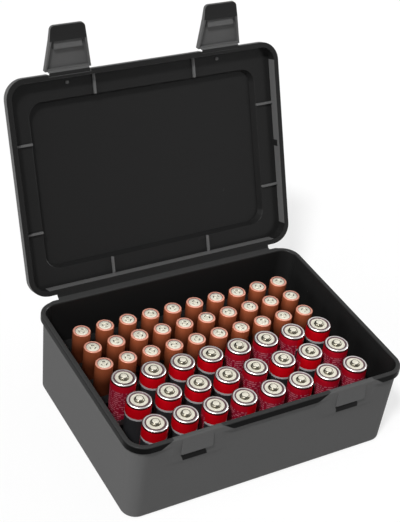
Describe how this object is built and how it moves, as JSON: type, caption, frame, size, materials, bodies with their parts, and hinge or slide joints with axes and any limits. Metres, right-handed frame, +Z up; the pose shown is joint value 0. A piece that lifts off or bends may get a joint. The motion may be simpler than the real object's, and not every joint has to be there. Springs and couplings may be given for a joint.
{
  "type": "hinged battery storage case",
  "caption": "Black moulded case with a fold-back lid and two snap latches, whose tray holds rows of AA and AAA cells upright.",
  "frame": {"origin": "centre of the tub's underside", "axes": "+X right along the latch side, +Y back towards the fold, +Z up"},
  "size_m": [0.1742, 0.1864, 0.1974],
  "materials": {
    "case_plastic": "satin",
    "tray_plastic": "gloss",
    "aa_cell": "satin",
    "aaa_cell": "satin"
  },
  "bodies": {
    "case": {"tub": "case_plastic", "cell_tray": "tray_plastic"},
    "lid": {"lid": "case_plastic"},
    "latch_left": {"latch_left": "case_plastic"},
    "latch_right": {"latch_right": "case_plastic"},
    "cell_aa_a1": {"cell_aa_a1": "aa_cell"},
    "cell_aa_a2": {"cell_aa_a2": "aa_cell"},
    "cell_aa_a3": {"cell_aa_a3": "aa_cell"},
    "cell_aa_a4": {"cell_aa_a4": "aa_cell"},
    "cell_aa_a5": {"cell_aa_a5": "aa_cell"},
    "cell_aa_a6": {"cell_aa_a6": "aa_cell"},
    "cell_aa_a7": {"cell_aa_a7": "aa_cell"},
    "cell_aa_a8": {"cell_aa_a8": "aa_cell"},
    "cell_aa_b1": {"cell_aa_b1": "aa_cell"},
    "cell_aa_b2": {"cell_aa_b2": "aa_cell"},
    "cell_aa_b3": {"cell_aa_b3": "aa_cell"},
    "cell_aa_b4": {"cell_aa_b4": "aa_cell"},
    "cell_aa_b5": {"cell_aa_b5": "aa_cell"},
    "cell_aa_b6": {"cell_aa_b6": "aa_cell"},
    "cell_aa_b7": {"cell_aa_b7": "aa_cell"},
    "cell_aa_b8": {"cell_aa_b8": "aa_cell"},
    "cell_aa_c1": {"cell_aa_c1": "aa_cell"},
    "cell_aa_c2": {"cell_aa_c2": "aa_cell"},
    "cell_aa_c3": {"cell_aa_c3": "aa_cell"},
    "cell_aa_c4": {"cell_aa_c4": "aa_cell"},
    "cell_aa_c5": {"cell_aa_c5": "aa_cell"},
    "cell_aa_c6": {"cell_aa_c6": "aa_cell"},
    "cell_aa_c7": {"cell_aa_c7": "aa_cell"},
    "cell_aa_c8": {"cell_aa_c8": "aa_cell"},
    "cell_aaa_d1": {"cell_aaa_d1": "aaa_cell"},
    "cell_aaa_d2": {"cell_aaa_d2": "aaa_cell"},
    "cell_aaa_d3": {"cell_aaa_d3": "aaa_cell"},
    "cell_aaa_d4": {"cell_aaa_d4": "aaa_cell"},
    "cell_aaa_d5": {"cell_aaa_d5": "aaa_cell"},
    "cell_aaa_d6": {"cell_aaa_d6": "aaa_cell"},
    "cell_aaa_d7": {"cell_aaa_d7": "aaa_cell"},
    "cell_aaa_d8": {"cell_aaa_d8": "aaa_cell"},
    "cell_aaa_d9": {"cell_aaa_d9": "aaa_cell"},
    "cell_aaa_d10": {"cell_aaa_d10": "aaa_cell"},
    "cell_aaa_e1": {"cell_aaa_e1": "aaa_cell"},
    "cell_aaa_e2": {"cell_aaa_e2": "aaa_cell"},
    "cell_aaa_e3": {"cell_aaa_e3": "aaa_cell"},
    "cell_aaa_e4": {"cell_aaa_e4": "aaa_cell"},
    "cell_aaa_e5": {"cell_aaa_e5": "aaa_cell"},
    "cell_aaa_e6": {"cell_aaa_e6": "aaa_cell"},
    "cell_aaa_e7": {"cell_aaa_e7": "aaa_cell"},
    "cell_aaa_e8": {"cell_aaa_e8": "aaa_cell"},
    "cell_aaa_e9": {"cell_aaa_e9": "aaa_cell"},
    "cell_aaa_e10": {"cell_aaa_e10": "aaa_cell"},
    "cell_aaa_f1": {"cell_aaa_f1": "aaa_cell"},
    "cell_aaa_f2": {"cell_aaa_f2": "aaa_cell"},
    "cell_aaa_f3": {"cell_aaa_f3": "aaa_cell"},
    "cell_aaa_f4": {"cell_aaa_f4": "aaa_cell"},
    "cell_aaa_f5": {"cell_aaa_f5": "aaa_cell"},
    "cell_aaa_f6": {"cell_aaa_f6": "aaa_cell"},
    "cell_aaa_f7": {"cell_aaa_f7": "aaa_cell"},
    "cell_aaa_f8": {"cell_aaa_f8": "aaa_cell"},
    "cell_aaa_f9": {"cell_aaa_f9": "aaa_cell"},
    "cell_aaa_f10": {"cell_aaa_f10": "aaa_cell"}
  },
  "joints": [
    {"name": "lid_fold", "type": "hinge", "parent": "case", "child": "lid", "pos_m": [0, 0.06499, 0.0545], "axis": [-1, 0, 0], "range_deg": [-112.4, 67.6]},
    {"name": "latch_left_fold", "type": "hinge", "parent": "lid", "child": "latch_left", "pos_m": [-0.0482, 0.11442, 0.17181], "axis": [-1, 0, 0], "range_deg": [-74, 20]},
    {"name": "latch_right_fold", "type": "hinge", "parent": "lid", "child": "latch_right", "pos_m": [0.0482, 0.11442, 0.17181], "axis": [-1, 0, 0], "range_deg": [-74, 20]},
    {"name": "cell_aa_a1_lift", "type": "slide", "parent": "case", "child": "cell_aa_a1", "axis": [0, 0, 1], "range_m": [0, 0.056]},
    {"name": "cell_aa_a2_lift", "type": "slide", "parent": "case", "child": "cell_aa_a2", "axis": [0, 0, 1], "range_m": [0, 0.056]},
    {"name": "cell_aa_a3_lift", "type": "slide", "parent": "case", "child": "cell_aa_a3", "axis": [0, 0, 1], "range_m": [0, 0.056]},
    {"name": "cell_aa_a4_lift", "type": "slide", "parent": "case", "child": "cell_aa_a4", "axis": [0, 0, 1], "range_m": [0, 0.056]},
    {"name": "cell_aa_a5_lift", "type": "slide", "parent": "case", "child": "cell_aa_a5", "axis": [0, 0, 1], "range_m": [0, 0.056]},
    {"name": "cell_aa_a6_lift", "type": "slide", "parent": "case", "child": "cell_aa_a6", "axis": [0, 0, 1], "range_m": [0, 0.056]},
    {"name": "cell_aa_a7_lift", "type": "slide", "parent": "case", "child": "cell_aa_a7", "axis": [0, 0, 1], "range_m": [0, 0.056]},
    {"name": "cell_aa_a8_lift", "type": "slide", "parent": "case", "child": "cell_aa_a8", "axis": [0, 0, 1], "range_m": [0, 0.056]},
    {"name": "cell_aa_b1_lift", "type": "slide", "parent": "case", "child": "cell_aa_b1", "axis": [0, 0, 1], "range_m": [0, 0.056]},
    {"name": "cell_aa_b2_lift", "type": "slide", "parent": "case", "child": "cell_aa_b2", "axis": [0, 0, 1], "range_m": [0, 0.056]},
    {"name": "cell_aa_b3_lift", "type": "slide", "parent": "case", "child": "cell_aa_b3", "axis": [0, 0, 1], "range_m": [0, 0.056]},
    {"name": "cell_aa_b4_lift", "type": "slide", "parent": "case", "child": "cell_aa_b4", "axis": [0, 0, 1], "range_m": [0, 0.056]},
    {"name": "cell_aa_b5_lift", "type": "slide", "parent": "case", "child": "cell_aa_b5", "axis": [0, 0, 1], "range_m": [0, 0.056]},
    {"name": "cell_aa_b6_lift", "type": "slide", "parent": "case", "child": "cell_aa_b6", "axis": [0, 0, 1], "range_m": [0, 0.056]},
    {"name": "cell_aa_b7_lift", "type": "slide", "parent": "case", "child": "cell_aa_b7", "axis": [0, 0, 1], "range_m": [0, 0.056]},
    {"name": "cell_aa_b8_lift", "type": "slide", "parent": "case", "child": "cell_aa_b8", "axis": [0, 0, 1], "range_m": [0, 0.056]},
    {"name": "cell_aa_c1_lift", "type": "slide", "parent": "case", "child": "cell_aa_c1", "axis": [0, 0, 1], "range_m": [0, 0.056]},
    {"name": "cell_aa_c2_lift", "type": "slide", "parent": "case", "child": "cell_aa_c2", "axis": [0, 0, 1], "range_m": [0, 0.056]},
    {"name": "cell_aa_c3_lift", "type": "slide", "parent": "case", "child": "cell_aa_c3", "axis": [0, 0, 1], "range_m": [0, 0.056]},
    {"name": "cell_aa_c4_lift", "type": "slide", "parent": "case", "child": "cell_aa_c4", "axis": [0, 0, 1], "range_m": [0, 0.056]},
    {"name": "cell_aa_c5_lift", "type": "slide", "parent": "case", "child": "cell_aa_c5", "axis": [0, 0, 1], "range_m": [0, 0.056]},
    {"name": "cell_aa_c6_lift", "type": "slide", "parent": "case", "child": "cell_aa_c6", "axis": [0, 0, 1], "range_m": [0, 0.056]},
    {"name": "cell_aa_c7_lift", "type": "slide", "parent": "case", "child": "cell_aa_c7", "axis": [0, 0, 1], "range_m": [0, 0.056]},
    {"name": "cell_aa_c8_lift", "type": "slide", "parent": "case", "child": "cell_aa_c8", "axis": [0, 0, 1], "range_m": [0, 0.056]},
    {"name": "cell_aaa_d1_lift", "type": "slide", "parent": "case", "child": "cell_aaa_d1", "axis": [0, 0, 1], "range_m": [0, 0.056]},
    {"name": "cell_aaa_d2_lift", "type": "slide", "parent": "case", "child": "cell_aaa_d2", "axis": [0, 0, 1], "range_m": [0, 0.056]},
    {"name": "cell_aaa_d3_lift", "type": "slide", "parent": "case", "child": "cell_aaa_d3", "axis": [0, 0, 1], "range_m": [0, 0.056]},
    {"name": "cell_aaa_d4_lift", "type": "slide", "parent": "case", "child": "cell_aaa_d4", "axis": [0, 0, 1], "range_m": [0, 0.056]},
    {"name": "cell_aaa_d5_lift", "type": "slide", "parent": "case", "child": "cell_aaa_d5", "axis": [0, 0, 1], "range_m": [0, 0.056]},
    {"name": "cell_aaa_d6_lift", "type": "slide", "parent": "case", "child": "cell_aaa_d6", "axis": [0, 0, 1], "range_m": [0, 0.056]},
    {"name": "cell_aaa_d7_lift", "type": "slide", "parent": "case", "child": "cell_aaa_d7", "axis": [0, 0, 1], "range_m": [0, 0.056]},
    {"name": "cell_aaa_d8_lift", "type": "slide", "parent": "case", "child": "cell_aaa_d8", "axis": [0, 0, 1], "range_m": [0, 0.056]},
    {"name": "cell_aaa_d9_lift", "type": "slide", "parent": "case", "child": "cell_aaa_d9", "axis": [0, 0, 1], "range_m": [0, 0.056]},
    {"name": "cell_aaa_d10_lift", "type": "slide", "parent": "case", "child": "cell_aaa_d10", "axis": [0, 0, 1], "range_m": [0, 0.056]},
    {"name": "cell_aaa_e1_lift", "type": "slide", "parent": "case", "child": "cell_aaa_e1", "axis": [0, 0, 1], "range_m": [0, 0.056]},
    {"name": "cell_aaa_e2_lift", "type": "slide", "parent": "case", "child": "cell_aaa_e2", "axis": [0, 0, 1], "range_m": [0, 0.056]},
    {"name": "cell_aaa_e3_lift", "type": "slide", "parent": "case", "child": "cell_aaa_e3", "axis": [0, 0, 1], "range_m": [0, 0.056]},
    {"name": "cell_aaa_e4_lift", "type": "slide", "parent": "case", "child": "cell_aaa_e4", "axis": [0, 0, 1], "range_m": [0, 0.056]},
    {"name": "cell_aaa_e5_lift", "type": "slide", "parent": "case", "child": "cell_aaa_e5", "axis": [0, 0, 1], "range_m": [0, 0.056]},
    {"name": "cell_aaa_e6_lift", "type": "slide", "parent": "case", "child": "cell_aaa_e6", "axis": [0, 0, 1], "range_m": [0, 0.056]},
    {"name": "cell_aaa_e7_lift", "type": "slide", "parent": "case", "child": "cell_aaa_e7", "axis": [0, 0, 1], "range_m": [0, 0.056]},
    {"name": "cell_aaa_e8_lift", "type": "slide", "parent": "case", "child": "cell_aaa_e8", "axis": [0, 0, 1], "range_m": [0, 0.056]},
    {"name": "cell_aaa_e9_lift", "type": "slide", "parent": "case", "child": "cell_aaa_e9", "axis": [0, 0, 1], "range_m": [0, 0.056]},
    {"name": "cell_aaa_e10_lift", "type": "slide", "parent": "case", "child": "cell_aaa_e10", "axis": [0, 0, 1], "range_m": [0, 0.056]},
    {"name": "cell_aaa_f1_lift", "type": "slide", "parent": "case", "child": "cell_aaa_f1", "axis": [0, 0, 1], "range_m": [0, 0.056]},
    {"name": "cell_aaa_f2_lift", "type": "slide", "parent": "case", "child": "cell_aaa_f2", "axis": [0, 0, 1], "range_m": [0, 0.056]},
    {"name": "cell_aaa_f3_lift", "type": "slide", "parent": "case", "child": "cell_aaa_f3", "axis": [0, 0, 1], "range_m": [0, 0.056]},
    {"name": "cell_aaa_f4_lift", "type": "slide", "parent": "case", "child": "cell_aaa_f4", "axis": [0, 0, 1], "range_m": [0, 0.056]},
    {"name": "cell_aaa_f5_lift", "type": "slide", "parent": "case", "child": "cell_aaa_f5", "axis": [0, 0, 1], "range_m": [0, 0.056]},
    {"name": "cell_aaa_f6_lift", "type": "slide", "parent": "case", "child": "cell_aaa_f6", "axis": [0, 0, 1], "range_m": [0, 0.056]},
    {"name": "cell_aaa_f7_lift", "type": "slide", "parent": "case", "child": "cell_aaa_f7", "axis": [0, 0, 1], "range_m": [0, 0.056]},
    {"name": "cell_aaa_f8_lift", "type": "slide", "parent": "case", "child": "cell_aaa_f8", "axis": [0, 0, 1], "range_m": [0, 0.056]},
    {"name": "cell_aaa_f9_lift", "type": "slide", "parent": "case", "child": "cell_aaa_f9", "axis": [0, 0, 1], "range_m": [0, 0.056]},
    {"name": "cell_aaa_f10_lift", "type": "slide", "parent": "case", "child": "cell_aaa_f10", "axis": [0, 0, 1], "range_m": [0, 0.056]}
  ]
}
